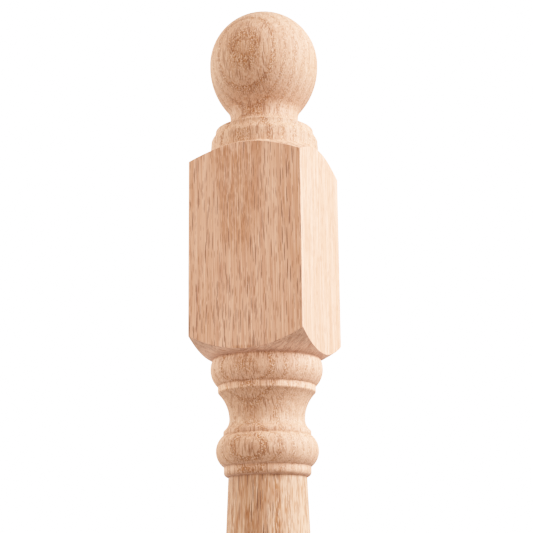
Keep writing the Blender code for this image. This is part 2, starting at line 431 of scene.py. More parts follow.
def turnedOutline(z):
    # half outline of all that the lathe cuts, as a line of points for the node tree
    points = ballPoints(z) + collarPoints(z) + upperBlockPoints(z)
    points += upperTurningPoints(z) + shaftPoints(z) + basePoints(z)
    f = postForm
    for radius, height in ((f["collarRimRadius"], "collarShelf"), (f["blockFilletRadius"], "coveHead"),
                           (f["coveFilletRadius"], "coveFoot"), (f["blockFilletRadius"], "baseCove")):
        points = sanded(points, (radius, z[height]))
    kept = [points[0]]
    for point in points[1:]:
        if math.dist(point, kept[-1]) > f["seamReach"]:
            kept.append(point)
    mesh = bpy.data.meshes.new("turnedOutline")
    edges = [(index, index + 1) for index in range(len(kept) - 1)]
    mesh.from_pydata([(radius, 0.0, height) for radius, height in kept], edges, [])
    return addObject("turnedOutline", mesh)


def turningTree():
    # sweeps the outline round the axis and keeps what it shares with the square blank
    tree = bpy.data.node_groups.new("turned between squares", "GeometryNodeTree")
    tree.is_modifier = True
    addSockets(tree, [
        ("Outline", "Object", None),
        ("Turned Steps", "Int", 48),
        ("Block Side", "Float", 0.08),
        ("Blank Height", "Float", 1.0),
        ("Arris Radius", "Float", 0.0005),
        ("Arris Steps", "Int", 3),
        ("Sharp Angle", "Float", 0.5),
        ("Wood", "Material", None),
    ], [("Geometry", "Geometry")])
    sizes = addNode(tree, "NodeGroupInput").outputs

    outline = addNode(tree, "GeometryNodeObjectInfo", {"Object": sizes["Outline"]})
    outlineLine = outline.outputs["Geometry"]
    count = addNode(tree, "GeometryNodeAttributeDomainSize", {"Geometry": outlineLine})
    rows = count.outputs["Point Count"]
    columns = addNode(tree, "FunctionNodeIntegerMath", {0: sizes["Turned Steps"], 1: 1}, operation="ADD")
    grid = addNode(tree, "GeometryNodeMeshGrid", {"Vertices X": columns.outputs[0], "Vertices Y": rows})
    index = addNode(tree, "GeometryNodeInputIndex").outputs[0]
    column = addNode(tree, "FunctionNodeIntegerMath", {0: index, 1: rows}, operation="DIVIDE_FLOOR")
    row = addNode(tree, "FunctionNodeIntegerMath", {0: index, 1: rows}, operation="MODULO")
    sample = addNode(tree, "GeometryNodeSampleIndex", data_type="FLOAT_VECTOR", domain="POINT")
    position = addNode(tree, "GeometryNodeInputPosition").outputs[0]
    tree.links.new(outlineLine, sample.inputs["Geometry"])
    tree.links.new(position, sample.inputs["Value"])
    tree.links.new(row.outputs[0], sample.inputs["Index"])
    share = doMath(tree, "DIVIDE", column.outputs[0], sizes["Turned Steps"])
    turned = addNode(tree, "ShaderNodeVectorRotate",
                     {"Vector": sample.outputs["Value"], "Angle": times(tree, share, math.tau)},
                     rotation_type="Z_AXIS")
    placed = addNode(tree, "GeometryNodeSetPosition",
                     {"Geometry": grid.outputs["Mesh"], "Position": turned.outputs[0]})
    closed = addNode(tree, "GeometryNodeMergeByDistance",
                     {"Geometry": placed.outputs[0], "Distance": postForm["weldReach"]})

    square = addNode(tree, "GeometryNodeCurvePrimitiveQuadrilateral",
                     {"Width": sizes["Block Side"], "Height": sizes["Block Side"]})
    rounded = addNode(tree, "GeometryNodeFilletCurve",
                      {"Curve": square.outputs[0], "Count": sizes["Arris Steps"],
                       "Radius": sizes["Arris Radius"]}, mode="POLY")
    upright = addNode(tree, "GeometryNodeCurvePrimitiveLine",
                      {"End": vector(tree, 0.0, 0.0, sizes["Blank Height"])})
    blank = addNode(tree, "GeometryNodeCurveToMesh",
                    {"Curve": upright.outputs[0], "Profile Curve": rounded.outputs[0],
                     "Fill Caps": True})

    both = addNode(tree, "GeometryNodeMeshBoolean", operation="INTERSECT", solver="EXACT")
    tree.links.new(blank.outputs[0], both.inputs[1])
    tree.links.new(closed.outputs[0], both.inputs[1])
    merged = addNode(tree, "GeometryNodeMergeByDistance",
                     {"Geometry": both.outputs["Mesh"], "Distance": postForm["seamReach"]})

    # planed faces and the sawn foot are shaded flat, the turned forms smooth
    apart = coordinates(tree, position)
    halfSide = doMath(tree, "DIVIDE", sizes["Block Side"], 2.0)
    faceLine = doMath(tree, "SUBTRACT", halfSide, postForm["flatReach"])
    planed = doMath(tree, "GREATER_THAN", offAxis(tree, apart, "MAXIMUM"), faceLine)
    sawn = doMath(tree, "LESS_THAN", apart["Z"], postForm["flatReach"])
    flat = doMath(tree, "MAXIMUM", planed, sawn)
    smooth = addNode(tree, "GeometryNodeSetShadeSmooth",
                     {"Geometry": merged.outputs[0], "Shade Smooth": True}, domain="FACE")
    flatFaces = addNode(tree, "GeometryNodeSetShadeSmooth",
                        {"Geometry": smooth.outputs[0], "Selection": flat, "Shade Smooth": False},
                        domain="FACE")
    bend = addNode(tree, "GeometryNodeInputMeshEdgeAngle").outputs["Unsigned Angle"]
    isSharp = doMath(tree, "GREATER_THAN", bend, sizes["Sharp Angle"])
    sharpEdges = addNode(tree, "GeometryNodeSetShadeSmooth",
                         {"Geometry": flatFaces.outputs[0], "Selection": isSharp,
                          "Shade Smooth": False}, domain="EDGE")
    real = addNode(tree, "GeometryNodeRealizeInstances", {"Geometry": sharpEdges.outputs[0]})
    finished = addNode(tree, "GeometryNodeSetMaterial",
                       {"Geometry": real.outputs[0], "Material": sizes["Wood"]})
    addNode(tree, "NodeGroupOutput", {"Geometry": finished.outputs[0]})
    return tree


# The wood. Sizes are in millimetres, colours are linear. A ramp is written as the values it
# runs between, and then what it gives there. A noise is its size along X, Y and Z, its detail
# and its roughness. A pair is for two kinds of surface.
redOak = {
    "pithPlace": (-5.0, -104.0),  # heart of the tree, in front of the post, at the ball
    "pithHeight": 1053.0,
    "pithLean": 0.022,  # how fast the heart comes nearer to the post going up
    "firstRing": 65.1,
    "ringWidth": 7.7,
    "ringWander": (2.2, 1.0),  # on turned wood, and on planed faces, where the rings look calmer
    "ringRagged": (2.6, 1.8),
    "secondRing": (1.0, 0.25),  # how strong the second and third rings are
    "ringWanderSize": 38.0,
    "wanderStretch": (1.0, 1.0, 0.4),
    "raggedStretch": (1.0, 1.0, 0.22),
    "raggedNoise": {"Scale": 0.9, "Detail": 3.0, "Roughness": 0.65},
    "yearsSize": 11.0,
    "laterYears": (76.0, 96.0, 0.0, 9.0),  # how far out good and bad years show, and how much
    "poreZone": 0.37,  # share of a ring that is open early wood
    "poreFade": (0.55, 1.45),  # where it fades out, in pore zones
    "ringStart": (0.0, 0.05),
    "ringEdge": (0.04, 0.28, 1.0, 0.0),
    "laterRings": (1.6, 4.5, 1.0, 0.55),  # rings get weaker further out
    "secondRingFrom": (0.75, 1.0),
    "secondRingTo": (3.0, 5.0),
    "newRays": 104.0,  # how far out new rays start
    "raySpread": (100.0, 90.0),  # how widely rays are laid out, and how much wider out there
    # where the rings bend in or out: from an edge, so far up, half width, soft end, by
    "ringBends": [("lowBead", 0.0, 8.0, 4.0, -3.5), ("blockBead", 0.0, 9.0, 4.0, -3.4),
                  ("upperBlock", 30.0, 22.0, 25.0, 2.4), ("upperBlock", 85.0, 45.0, 25.0, 1.1)],
    "planedDepth": (0.4, 0.1),  # how near to the block's sides a face is taken as planed
    "flatSawn": (0.35, 0.85),  # how far a surface faces the heart
    "endwise": (0.72, 0.85),  # and how far it looks up or down
    "swaySize": (30.0, 30.0, 60.0),
    "swayReach": 3.0,
    "shaft": ("shaftFoot", "shaftHead"),
    "shaftInset": 0.3,
    "ringOnSides": (0.25, 1.0),  # on the sides that run along the rays, and away from them
    "deeper": (20.0, 40.0),  # the wood deepens towards the right side
    "deepest": (0.28, 0.60),  # on the block's right side and on its front
    "mottleNoise": ((5.0, 5.0, 40.0), 3.0, 0.6),
    "mottle": (0.52, 0.80, 0.0, 0.6),
    "planedMottle": (1.0, 0.4),  # on turned wood and on planed faces
    "stripeNoise": ((3.0, 3.0, 90.0), 2.0, 0.55),
    "stripeOnShaft": (0.22, 1.0),  # off the shaft and on it
    "darkStripe": (0.56, 0.44, 0.0, 0.9),
    "paleStripe": (0.54, 0.61, 0.0, 0.9),
    "lineNoise": ((0.62, 0.62, 34.0), 1.0, 0.5),  # fine lines that run up the post
    "lineOnSides": (0.85, 0.40),  # on turned wood and on planed faces
    "darkLine": (0.48, 0.28),
    "paleLine": (0.53, 0.73),
    "shortPores": (1.0, 3.0),  # on long grain, and on the short grain of the beads and the ball
    "shortRays": (1.0, 1.6),
    "shortLines": (1.0, 3.2),
    "turnedLines": (1.0, 0.72),  # on planed faces, and on turned wood, where lines are wider
    "ringEdgeAmount": 0.90,
    "sidePale": 0.14,
    # painted light: the shaft's right, lit side is paler
    "shaftLitSidePale": (-15.0, 15.0, 0.0, 0.80),
    "dashNoise": ((0.95, 0.95, 13.0), 1.0, 0.5),  # short dashes on the shaft
    "dash": (0.46, 0.36, 0.0, 0.9),
    "tornNoise": ((0.60, 0.60, 1.0), 1.0, 0.6),
    "shaftTorn": (1.0, 0.12),  # the specks are drawn out along the shaft
    "tornOnSides": (0.5, 1.0),
    "darkTorn": (0.49, 0.56),
    "darkTornEarly": (0.20, 1.0),  # in late wood and in early wood
    "paleTorn": (0.49, 0.41, 0.0, 0.75),
    "paleTornEarly": (0.15, 1.0),
    "cellSizes": (0.8, 0.55),  # how much the sizes of pores and rays differ, and the smallest
    "cellRandomness": 0.8,
    "haloSize": 1.9,
    # spacing across and along the grain, size, soft edge and the share that is left out
    "largePores": {"Spacing": (0.80, 0.80, 6.5), "Size": 0.42, "Edge": 0.10, "Missing": 0.05},
    "smallPores": {"Spacing": (1.05, 1.05, 10.0), "Size": 0.30, "Edge": 0.08, "Missing": 0.35},
    "planedPores": (1.0, 0.6),  # on turned wood and on planed faces
    "smallPoreAmount": 0.75,
    "poreAmount": 0.72,
    "rays": {"Spacing": (1.25, 6.0, 25.0), "Edge": 0.05},  # round, out from and along the heart
    "raySize": (0.265, 0.34),  # on long grain and on short grain
    "rayOnSides": (0.12, 1.0),
    "rayAmount": (1.0, 0.76),
    "rayHalo": 0.4,
    "wornReach": (1.0, 0.3),  # how near to the block's edges the wear starts and is full
    "wearNoise": ((6.0, 6.0, 22.0), 2.0, 0.6),
    "wornPatches": (0.35, 0.65, 0.15, 0.8),
    # stronger on the faces that look down: painted light under the shoulders
    "endBelow": (-0.70, -0.88, 0.0, 0.5),
    "endAbove": (0.75, 1.0, 0.0, 0.25),
    "wobbleSize": (9.0, 9.0, 30.0),
    "wobbleReach": 9.0,
    "arcNoise": ((11.0, 0.75, 30.0), 2.0, 0.6),  # round, out from and along the heart
    "arcFrom": (-0.70, -0.85),  # how far a surface looks down
    "darkArc": (0.50, 0.38, 0.0, 0.9),
    "paleArc": (0.50, 0.62, 0.0, 0.8),
    "lateColour": (0.715, 0.465, 0.315, 1.0),
    "earlyColour": (0.545, 0.304, 0.172, 1.0),
    "stripeColour": (0.455, 0.205, 0.085, 1.0),
    "lineColour": (0.520, 0.290, 0.185, 1.0),
    "poreColour": (0.265, 0.103, 0.034, 1.0),
    "rayColour": (0.190, 0.091, 0.050, 1.0),
    "paleColour": (0.870, 0.625, 0.460, 1.0),
    "creamColour": (0.960, 0.730, 0.560, 1.0),
    "tornColour": (0.420, 0.188, 0.066, 1.0),
    "endColour": (0.760, 0.600, 0.480, 1.0),
    # painted light that lifts the shade under the shoulders
    "shoulderLiftTone": (1.14, 1.14, 1.17, 1.0),
    "turnedTone": (0.990, 0.895, 0.810, 1.0),
    "planedTone": (1.275, 1.175, 1.12, 1.0),  # the planed faces are paler than the turned wood
    # painted highlight on the crisp fillets and rims
    "crispBands": [("rimFoot", "rimHead"), ("lowBeadHead", "coveFoot"), ("coveHead", "blockFillet"),
                   ("baseFillet", "baseCove")],
    "crispInset": 0.5,
    "crispSoft": 0.6,
    "crispHighlightTone": (1.15, 1.17, 1.20, 1.0),
    # painted shade in the narrow quirks between the turned members
    "quirks": ["shaftHead", "rimHead", "lowBeadHead", "blockFillet", "blockJoin",
               "baseJoin", "baseFillet"],
    "quirkWidth": 0.25,
    "quirkSoft": 1.3,
    "quirkShadeTone": (0.84, 0.80, 0.76, 1.0),
    # painted light and shade, band by band up the turned forms, with a thin painted shadow where the bead
    # meets the upper block: from an edge, so far up, half width, soft end, tone
    "paintedLightTones": [("shaftFoot", 220.0, 219.0, 2.0, (0.945, 0.945, 0.90, 1.0)),
                  ("shaftFoot", 140.0, 150.0, 100.0, (1.17, 1.20, 1.23, 1.0)),
                  ("coveWaist", 7.0, 12.0, 2.0, (1.04, 1.06, 1.06, 1.0)),
                  ("blockBead", -2.0, 13.0, 2.0, (1.17, 1.18, 1.21, 1.0)),
                  ("blockJoin", 0.5, 0.4, 2.0, (0.84, 0.80, 0.78, 1.0)),
                  ("collarHead", 0.0, 11.0, 2.0, (1.07, 1.08, 1.08, 1.0)),
                  ("lowBead", 0.0, 9.0, 3.0, (1.05, 1.06, 1.06, 1.0)),
                  ("ballCentre", -6.0, 4.0, 16.0, (1.06, 1.06, 1.04, 1.0)),
                  ("top", 0.0, 4.0, 22.0, (0.88, 0.94, 0.95, 1.0))],
    "roughness": (0.3, 0.7, 0.56, 0.70),
    "poreRoughness": 0.85,
    "wornPolish": 0.10,
    "specular": 0.25,
    "latheNoise": ((60.0, 60.0, 0.7), 1.0, 0.5),  # faint marks of the turning tool
    "lineRelief": 0.5,
    "latheRelief": 0.5,
    "bumpStrength": 0.6,
    "bumpDistance": 0.00025,  # metres
}


def cellsGroup():
    # long cells laid out at random: 1 in the middle of a cell, 0 at its edge
    tree = bpy.data.node_groups.new("wood cells", "ShaderNodeTree")
    addSockets(tree, [
        ("Point", "Vector", None),
        ("Spacing", "Vector", (1.0, 1.0, 10.0)),
        ("Size", "Float", 0.3),
        ("Edge", "Float", 0.1),
        ("Missing", "Float", 0.0),
    ], [("Mask", "Float"), ("Halo", "Float")])
    given = addNode(tree, "NodeGroupInput").outputs
    scaled = doVectorMath(tree, "DIVIDE", given["Point"], given["Spacing"])
    cells = addNode(tree, "ShaderNodeTexVoronoi",
                    {"Vector": scaled, "Scale": 1.0, "Randomness": redOak["cellRandomness"]},
                    voronoi_dimensions="3D", feature="F1", distance="EUCLIDEAN").outputs
    pick = addNode(tree, "ShaderNodeSeparateColor", {"Color": cells["Color"]}).outputs
    # each cell has a size of its own, and some are left out
    size = times(tree, given["Size"], doMath(tree, "MULTIPLY_ADD", pick[0], *redOak["cellSizes"]))
    inner = doMath(tree, "SUBTRACT", size, given["Edge"])
    mask = ramp(tree, cells["Distance"], size, inner)
    halo = ramp(tree, cells["Distance"], times(tree, size, redOak["haloSize"]), size)
    kept = doMath(tree, "GREATER_THAN", pick[1], given["Missing"])
    addNode(tree, "NodeGroupOutput", {"Mask": times(tree, mask, kept), "Halo": times(tree, halo, kept)})
    return tree


def ringsGroup():
    # growth rings round the heart of the tree
    wood = redOak
    tree = bpy.data.node_groups.new("growth rings", "ShaderNodeTree")
    addSockets(tree, [
        ("Point", "Vector", None),
        ("First Ring", "Float", 60.0),
        ("Ring Width", "Float", 8.0),
        ("Wander", "Float", 2.0),
        ("Wander Size", "Float", 40.0),
        ("Pore Zone", "Float", 0.4),
        ("Bend", "Float", 0.0),
        ("Ragged", "Float", 3.0),
        ("Second Ring", "Float", 1.0),
    ], [("Early Wood", "Float"), ("Ring Edge", "Float"),
        ("Tree Point", "Vector"), ("Outward", "Vector")])
    given = addNode(tree, "NodeGroupInput").outputs
    apart = coordinates(tree, given["Point"])
    pithX, pithY = wood["pithPlace"]
    up = doMath(tree, "SUBTRACT", apart["Z"], wood["pithHeight"])
    heartY = doMath(tree, "MULTIPLY_ADD", up, wood["pithLean"], pithY)
    acrossX = doMath(tree, "SUBTRACT", apart["X"], pithX)
    acrossY = doMath(tree, "SUBTRACT", apart["Y"], heartY)
    across = vector(tree, acrossX, acrossY)
    radius = doVectorMath(tree, "LENGTH", across)
    bearing = doMath(tree, "ARCTAN2", acrossX, acrossY)

    # rings wander slowly, and their edges are ragged
    longPoint = doVectorMath(tree, "MULTIPLY", given["Point"], wood["wanderStretch"])
    wanderSize = given["Wander Size"]
    slow = noise(tree, longPoint, vector(tree, wanderSize, wanderSize, wanderSize))
    moved = shifted(tree, slow, times(tree, given["Wander"], 2.0), radius)
    raggedPoint = doVectorMath(tree, "MULTIPLY", given["Point"], wood["raggedStretch"])
    ragged = addNode(tree, "ShaderNodeTexNoise", {"Vector": raggedPoint, **wood["raggedNoise"]}).outputs[0]
    moved = shifted(tree, ragged, given["Ragged"], moved)
    moved = doMath(tree, "ADD", moved, given["Bend"])
    # good years and bad years, away from the first rings
    year = doMath(tree, "DIVIDE", radius, wood["yearsSize"])
    years = addNode(tree, "ShaderNodeTexNoise", {"W": year, "Scale": 1.0, "Detail": 0.0},
                    noise_dimensions="1D").outputs[0]
    moved = shifted(tree, years, ramp(tree, moved, *wood["laterYears"]), moved)
    pastFirst = doMath(tree, "SUBTRACT", moved, given["First Ring"])
    turns = doMath(tree, "DIVIDE", pastFirst, given["Ring Width"])
    phase = doMath(tree, "FRACT", turns)

    # early wood starts abruptly and fades out into late wood
    start = ramp(tree, phase, *wood["ringStart"])
    fadeFrom, fadeTo = [times(tree, given["Pore Zone"], share) for share in wood["poreFade"]]
    fade = ramp(tree, phase, fadeFrom, fadeTo, 1.0, 0.0, smooth=True)
    # the second and third rings can be fainter than the others
    fainter = ramp(tree, turns, *wood["secondRingFrom"], 1.0, given["Second Ring"])
    beyond = ramp(tree, turns, *wood["secondRingTo"])
    strength = times(tree, ramp(tree, turns, *wood["laterRings"]),
                     doMath(tree, "MAXIMUM", fainter, beyond))
    # new rays start further out, so their spacing stays much the same
    outer = doMath(tree, "GREATER_THAN", radius, wood["newRays"])
    spread, moreSpread = wood["raySpread"]
    sideways = times(tree, bearing, doMath(tree, "MULTIPLY_ADD", outer, moreSpread, spread))
    addNode(tree, "NodeGroupOutput", {
        "Early Wood": times(tree, strength, times(tree, start, fade)),
        "Ring Edge": times(tree, ramp(tree, phase, *wood["ringEdge"]), start, strength),
        "Tree Point": vector(tree, sideways, radius, apart["Z"]),
        "Outward": doVectorMath(tree, "NORMALIZE", across)})
    return tree


def bandGroup():
    # 1 within a band of heights, 0 away from it
    tree = bpy.data.node_groups.new("height band", "ShaderNodeTree")
    addSockets(tree, [
        ("Height", "Float", 0.0),
        ("Middle", "Float", 0.0),
        ("Half Width", "Float", 1.0),
        ("Soft", "Float", 0.5),
    ], [("Mask", "Float")])
    given = addNode(tree, "NodeGroupInput").outputs
    away = doMath(tree, "ABSOLUTE", doMath(tree, "SUBTRACT", given["Height"], given["Middle"]))
    end = doMath(tree, "ADD", given["Half Width"], given["Soft"])
    mask = ramp(tree, away, given["Half Width"], end, 1.0, 0.0, smooth=True)
    addNode(tree, "NodeGroupOutput", {"Mask": mask})
    return tree


def redOakMaterial():
    wood = redOak
    material = bpy.data.materials.new("red oak")
    material.use_nodes = True
    tree = material.node_tree
    shader = tree.nodes["Principled BSDF"]
    place = addNode(tree, "ShaderNodeTexCoord").outputs
    point = doVectorMath(tree, "SCALE", place["Object"], 1000.0)
    apart = coordinates(tree, point)
    band = bandGroup()
    z = {name: height * 1000 for name, height in edgeHeights().items()}

    def inBand(middle, half, soft):
        return useGroup(tree, band, {"Height": apart["Z"], "Middle": middle, "Half Width": half,
                                     "Soft": soft})["Mask"]

    def inStretch(edges, inset, soft):
        low, high = [z[name] for name in edges]
        return inBand((low + high) / 2, (high - low) / 2 - inset, soft)

    def ramped(value, name, smooth=False):
        return ramp(tree, value, *wood[name], smooth=smooth)

    def paired(share, name):
        return between(tree, share, *wood[name])

    def grained(point, name):
        return noise(tree, point, *wood[name])

    def covered(colour, share, paint):
        return mixColour(tree, share, colour, wood[paint])

    def painted(colour, found, share, name, paint):
        # where a noise is within the ramp of that name, the paint covers the colour
        return covered(colour, times(tree, ramped(found, name), share), paint)

    # planed faces lie in the block's four sides
    halfSide = blockSide * 500
    planedFrom, planedTo = [halfSide - depth for depth in wood["planedDepth"]]
    planed = ramp(tree, offAxis(tree, apart, "MAXIMUM"), planedFrom, planedTo)
    turned = inverse(tree, planed)
    bend = 0.0
    for name, offset, half, soft, shift in wood["ringBends"]:
        bend = doMath(tree, "MULTIPLY_ADD", inBand(z[name] + offset, half, soft), shift, bend)
    rings = useGroup(tree, ringsGroup(), {
        "Point": point, "First Ring": wood["firstRing"], "Ring Width": wood["ringWidth"],
        "Wander": paired(planed, "ringWander"), "Wander Size": wood["ringWanderSize"],
        "Pore Zone": wood["poreZone"], "Bend": bend, "Ragged": paired(planed, "ringRagged"),
        "Second Ring": paired(planed, "secondRing")})
    early, treePoint = rings["Early Wood"], rings["Tree Point"]
    # flat sawn is 1 where the cut faces the heart, 0 where it runs along the rays
    facing = doVectorMath(tree, "DOT_PRODUCT", place["Normal"], rings["Outward"])
    flatSawn = ramped(doMath(tree, "ABSOLUTE", facing), "flatSawn", smooth=True)

    # the grain is never quite straight
    sway = vector(tree, shifted(tree, noise(tree, point, wood["swaySize"]), wood["swayReach"]))
    grainPoint = doVectorMath(tree, "ADD", point, sway)
    rayPoint = doVectorMath(tree, "ADD", treePoint, sway)

    # end grain shows on the shoulders and at the ball's top
    normal = coordinates(tree, place["Normal"])
    endwise = ramped(doMath(tree, "ABSOLUTE", normal["Z"]), "endwise", smooth=True)
    strokes = doMath(tree, "MAXIMUM", flatSawn, endwise)

    # the beads, cove, collar and ball cut the grain short; the shaft and the faces keep it long
    shaft = inStretch(wood["shaft"], wood["shaftInset"], wood["shaftInset"])
    short = times(tree, turned, inverse(tree, shaft))
    porePoint = stretched(tree, grainPoint, paired(short, "shortPores"))
    bladePoint = stretched(tree, rayPoint, paired(short, "shortRays"))
    linePoint = stretched(tree, grainPoint, paired(short, "shortLines"), paired(turned, "turnedLines"))

    # ring colour, then mottling, broad stripes and fine lines up the post
    ringShare = times(tree, early, paired(strokes, "ringOnSides"))
    colour = mixColour(tree, ringShare, wood["lateColour"], wood["earlyColour"])
    deepest = paired(doMath(tree, "ABSOLUTE", normal["Y"]), "deepest")
    deeper = ramped(apart["X"], "deeper", smooth=True)
    colour = covered(colour, times(tree, deeper, deepest, planed), "earlyColour")
    mottle = grained(grainPoint, "mottleNoise")
    colour = painted(colour, mottle, paired(planed, "planedMottle"), "mottle", "earlyColour")
    stripe = grained(grainPoint, "stripeNoise")
    stripeShare = paired(shaft, "stripeOnShaft")
    colour = painted(colour, stripe, stripeShare, "darkStripe", "stripeColour")
    colour = painted(colour, stripe, stripeShare, "paleStripe", "creamColour")
    line = grained(linePoint, "lineNoise")
    lineShare = between(tree, strokes, paired(planed, "lineOnSides"), 1.0)
    colour = painted(colour, line, lineShare, "darkLine", "lineColour")
    colour = painted(colour, line, lineShare, "paleLine", "paleColour")

    # a ring starts with a thin dark line
    edgeShare = times(tree, rings["Ring Edge"], short, strokes, wood["ringEdgeAmount"])
    colour = covered(colour, edgeShare, "stripeColour")

    # the turned sides that run along the rays are paler; on the shaft this is painted light instead, full
    # on its right, lit side and none on its left
    along = times(tree, inverse(tree, flatSawn), turned)
    shaftLitSidePale = doMath(tree, "SUBTRACT", ramped(apart["X"], "shaftLitSidePale"), wood["sidePale"])
    paleShare = times(tree, along, doMath(tree, "MULTIPLY_ADD", shaft, shaftLitSidePale, wood["sidePale"]))
    colour = covered(colour, paleShare, "paleColour")
    dash = grained(grainPoint, "dashNoise")
    colour = painted(colour, dash, shaft, "dash", "stripeColour")

    # the lathe tears the grain into specks, most of all in early wood
    tornPoint = stretched(tree, point, paired(shaft, "shaftTorn"))
    torn = grained(tornPoint, "tornNoise")
    tornEarly = times(tree, early, paired(strokes, "tornOnSides"))
    for kind, tornColour in (("paleTorn", wood["creamColour"]), ("darkTorn", wood["tornColour"])):
        specks = times(tree, ramped(torn, kind), turned, paired(tornEarly, kind + "Early"))
        colour = mixColour(tree, specks, colour, tornColour)

    # open pores, long up the post: large ones in early wood, small ones all over
    cells = cellsGroup()
    large = useGroup(tree, cells, {"Point": porePoint, **wood["largePores"]})["Mask"]
    small = useGroup(tree, cells, {"Point": porePoint, **wood["smallPores"]})["Mask"]
    large = times(tree, large, times(tree, early, paired(planed, "planedPores")))
    pores = doMath(tree, "MAXIMUM", large, times(tree, small, wood["smallPoreAmount"]))
    # rays stand across the rings like thin blades, each with paler wood beside it
    rays = useGroup(tree, cells, {"Point": bladePoint, "Size": paired(short, "raySize"), **wood["rays"]})
    rayShare = paired(strokes, "rayOnSides")
    rayMask = times(tree, rays["Mask"], rayShare)
    colour = covered(colour, times(tree, rays["Halo"], rayShare, wood["rayHalo"]), "paleColour")
    rayColour = mixColour(tree, short, wood["rayColour"], wood["poreColour"])
    colour = mixColour(tree, times(tree, rayMask, paired(short, "rayAmount")), colour, rayColour)
    colour = covered(colour, times(tree, pores, wood["poreAmount"]), "poreColour")

    # the block's long edges are worn pale, here more and there less
    wornFrom, wornTo = [halfSide - reach for reach in wood["wornReach"]]
    atEdge = times(tree, ramp(tree, offAxis(tree, apart, "MINIMUM"), wornFrom, wornTo), planed)
    worn = times(tree, atEdge, ramped(grained(point, "wearNoise"), "wornPatches"))
    colour = covered(colour, worn, "creamColour")

    # the end grain is sanded to a greyer, paler tone; the faces that look down take twice as much, painted
    # light that lifts the shade under the shoulders
    endGrain = doMath(tree, "MAXIMUM", ramped(normal["Z"], "endBelow"), ramped(normal["Z"], "endAbove"))
    colour = covered(colour, endGrain, "endColour")
    # under the shoulder the rings are cut across and show as fine arcs
    wobble = shifted(tree, noise(tree, point, wood["wobbleSize"]), wood["wobbleReach"])
    arcPoint = doVectorMath(tree, "ADD", treePoint, vector(tree, 0.0, wobble))
    arc = grained(arcPoint, "arcNoise")
    arcShare = ramped(normal["Z"], "arcFrom")
    colour = painted(colour, arc, arcShare, "darkArc", "lineColour")
    colour = painted(colour, arc, arcShare, "paleArc", "paleColour")
    # painted light: the faces under the shoulders are made paler, lifting their shade
    colour = toned(tree, arcShare, colour, wood["shoulderLiftTone"])

    tone = mixColour(tree, planed, wood["turnedTone"], wood["planedTone"])
    colour = mixColour(tree, 1.0, colour, tone, "MULTIPLY")
    # painted light and shade: each band of the turned forms is lifted or darkened by its tone
    for name, offset, half, soft, paintedLightTone in wood["paintedLightTones"]:
        share = times(tree, inBand(z[name] + offset, half, soft), turned)
        colour = toned(tree, share, colour, paintedLightTone)
    # crisp turned bands get a painted highlight, and a painted shade sits in the quirks between them
    paintedHighlight = 0.0
    for edges in wood["crispBands"]:
        crisp = inStretch(edges, wood["crispInset"], wood["crispSoft"])
        paintedHighlight = doMath(tree, "MAXIMUM", paintedHighlight, crisp)
    paintedQuirkShade = 0.0
    for name in wood["quirks"]:
        paintedQuirkShade = doMath(tree, "MAXIMUM", paintedQuirkShade, inBand(z[name], wood["quirkWidth"], wood["quirkSoft"]))
    # painted highlight on the crisp bands
    colour = toned(tree, times(tree, paintedHighlight, turned), colour, wood["crispHighlightTone"])
    # painted shade in the quirks
    colour = toned(tree, times(tree, paintedQuirkShade, turned), colour, wood["quirkShadeTone"])

    tree.links.new(colour, shader.inputs["Base Color"])
    rough = ramped(mottle, "roughness")
    rough = doMath(tree, "MAXIMUM", rough, times(tree, pores, wood["poreRoughness"]))
    rough = doMath(tree, "SUBTRACT", rough, times(tree, worn, wood["wornPolish"]))
    tree.links.new(rough, shader.inputs["Roughness"])
    shader.inputs["Specular IOR Level"].default_value = wood["specular"]

    hollows = doMath(tree, "MAXIMUM", pores, rayMask)
    height = doMath(tree, "MULTIPLY_ADD", hollows, -1.0, times(tree, line, wood["lineRelief"]))
    lathe = times(tree, grained(point, "latheNoise"), short)
    height = doMath(tree, "MULTIPLY_ADD", lathe, wood["latheRelief"], height)
    bump = addNode(tree, "ShaderNodeBump", {
        "Strength": wood["bumpStrength"], "Distance": wood["bumpDistance"], "Height": height})
    tree.links.new(bump.outputs[0], shader.inputs["Normal"])
    return material


def makePost():
    outline = turnedOutline(edgeHeights())
    post = addObject("newelPost", bpy.data.meshes.new("newelPost"))
    tree = turningTree()
    turning = post.modifiers.new("turned between squares", "NODES")
    turning.node_group = tree
    values = {
        "Outline": outline,
        "Turned Steps": postForm["turnedSteps"],
        "Block Side": blockSide,
        "Blank Height": postHeight + postForm["cutMargin"],
        "Arris Radius": postForm["arrisRadius"],
        "Arris Steps": postForm["arrisSteps"],
        "Sharp Angle": math.radians(postForm["sharpAngle"]),
        "Wood": redOakMaterial(),
    }
    for item in tree.interface.items_tree:
        if item.item_type == "SOCKET" and item.in_out == "INPUT":
            turning[item.identifier] = values[item.name]
    depsgraph = bpy.context.evaluated_depsgraph_get()
    solid = bpy.data.meshes.new_from_object(post.evaluated_get(depsgraph))
    solid.name = "newelPost"
    post.modifiers.clear()
    post.data = solid
    bpy.data.objects.remove(outline, do_unlink=True)
    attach(post, "root")
    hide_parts("newel_post")
    return post


post = makePost()
print("post turned:", len(post.data.polygons), "faces")


# Studio: white paper, a big soft light from the right and a weak one from the left
studio = {
    "floorColour": (0.58, 0.705, 0.755, 1.0),  # comes out a neutral white in the warm room light
    "floorRoughness": 0.9,
    "floorDrop": 0.0002,
    "floorSize": 8.0,
    "roomLight": (1.58, 1.24, 1.12, 1.0),
    "roomBelow": 0.42,  # how much of it comes from below
    "roomRise": (-0.6, 0.5),
    "keyTurn": 98.0,  # degrees round from the front, towards the right
    "keyRise": 30.0,
    "keyDistance": 2.2,
    "keySize": 1.2,
    "keyPower": 119.0,
    "keyColour": (1.0, 0.975, 1.13),
    "fillTurn": -95.0,
    "fillRise": 15.0,
    "fillDistance": 2.2,
    "fillSize": 1.4,
    "fillPower": 42.0,
    "fillColour": (1.0, 0.95, 0.9),
    "filmWhite": 3.0,  # brightness that comes out white
    "filmSteps": 12,
    "lightHeight": 0.95,
}


